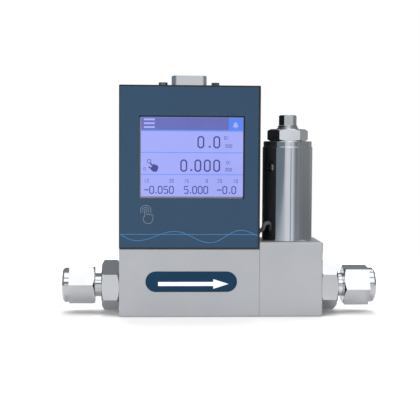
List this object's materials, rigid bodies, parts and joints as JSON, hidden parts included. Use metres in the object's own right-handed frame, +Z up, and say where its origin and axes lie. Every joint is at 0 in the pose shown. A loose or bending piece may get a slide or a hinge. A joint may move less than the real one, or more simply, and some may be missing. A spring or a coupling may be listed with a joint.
{
  "type": "gas mass flow meter",
  "caption": "Thermal mass flow meter for gas with a display housing, a solenoid control valve, compression tube fittings in line and a data connector on top.",
  "frame": {"origin": "centre of the whole part on the underside of the blocks", "axes": "+X along the gas flow from inlet to outlet, +Z up, the display faces -Y"},
  "size_m": [0.1502, 0.03, 0.1136],
  "materials": {
    "block_metal": "fine blasted, clear anodised",
    "fitting_steel": "turned and milled stainless",
    "screw_steel": "plain stainless",
    "dark_screws": "black oxide",
    "coil_steel": "bright plated steel",
    "core_steel": "turned magnetic stainless",
    "spring_steel": "drawn spring wire",
    "flow_steel": "fine turned stainless",
    "seal_rubber": "moulded black elastomer",
    "winding_copper": "enamelled copper wire",
    "bobbin_plastic": "glass filled nylon",
    "housing_paint": "satin black powder coat",
    "panel_blue": "satin printed overlay",
    "plate_blue": "satin printed plate",
    "display_glass": "lit colour display under glass",
    "display_case": "moulded black",
    "board_green": "green solder mask",
    "chip_black": "moulded black",
    "capacitor_case": "drawn can",
    "spacer_brass": "turned brass",
    "socket_plastic": "moulded natural nylon",
    "connector_steel": "nickel plated steel",
    "post_steel": "dark nickel plated steel",
    "connector_plastic": "moulded black",
    "contact_gold": "gold plated",
    "lead_jacket": "dark grey sleeve"
  },
  "bodies": {
    "meter": {"adjuster_washer": "coil_steel", "adjusting_screw": "coil_steel", "block_screws": "screw_steel", "block_seal": "seal_rubber", "board_capacitors": "capacitor_case", "board_chips": "chip_black", "board_screws": "screw_steel", "board_spacers": "spacer_brass", "capillary_tube": "flow_steel", "coil_bobbin": "bobbin_plastic", "coil_cap": "coil_steel", "coil_housing": "coil_steel", "coil_nut": "coil_steel", "coil_set_screw": "dark_screws", "coil_winding": "winding_copper", "connector_contacts": "contact_gold", "connector_insert": "connector_plastic", "connector_shell": "connector_steel", "core_seal": "seal_rubber", "core_tube": "core_steel", "cover_screws": "dark_screws", "direction_plate": "plate_blue", "display_glass": "display_glass", "display_module": "display_case", "flow_block": "block_metal", "front_panel": "panel_blue", "housing": "housing_paint", "housing_screws": "screw_steel", "inlet_back_ferrule": "fitting_steel", "inlet_filter": "flow_steel", "inlet_fitting": "fitting_steel", "inlet_front_ferrule": "fitting_steel", "inlet_nut": "fitting_steel", "inlet_seal": "seal_rubber", "jack_posts": "post_steel", "laminar_element": "flow_steel", "lead_grommet": "seal_rubber", "main_board": "board_green", "outlet_back_ferrule": "fitting_steel", "outlet_fitting": "fitting_steel", "outlet_front_ferrule": "fitting_steel", "outlet_nut": "fitting_steel", "outlet_seal": "seal_rubber", "pole_piece": "core_steel", "rear_cover": "housing_paint", "sensor_base": "flow_steel", "sensor_cover": "flow_steel", "sensor_screws": "screw_steel", "sensor_windings": "winding_copper", "tap_seals": "seal_rubber", "valve_block": "block_metal", "valve_lead": "lead_jacket", "valve_seat": "core_steel", "valve_socket": "socket_plastic", "valve_spring": "spring_steel"},
    "plunger": {"armature": "core_steel", "sealing_disc": "seal_rubber"}
  },
  "joints": [
    {"name": "plunger_lift", "type": "slide", "parent": "meter", "child": "plunger", "axis": [0, 0, 1], "range_m": [0, 0.0005], "stiffness_N_per_m": 100, "springref_m": -0.0005, "deforming": ["valve_spring"]}
  ]
}
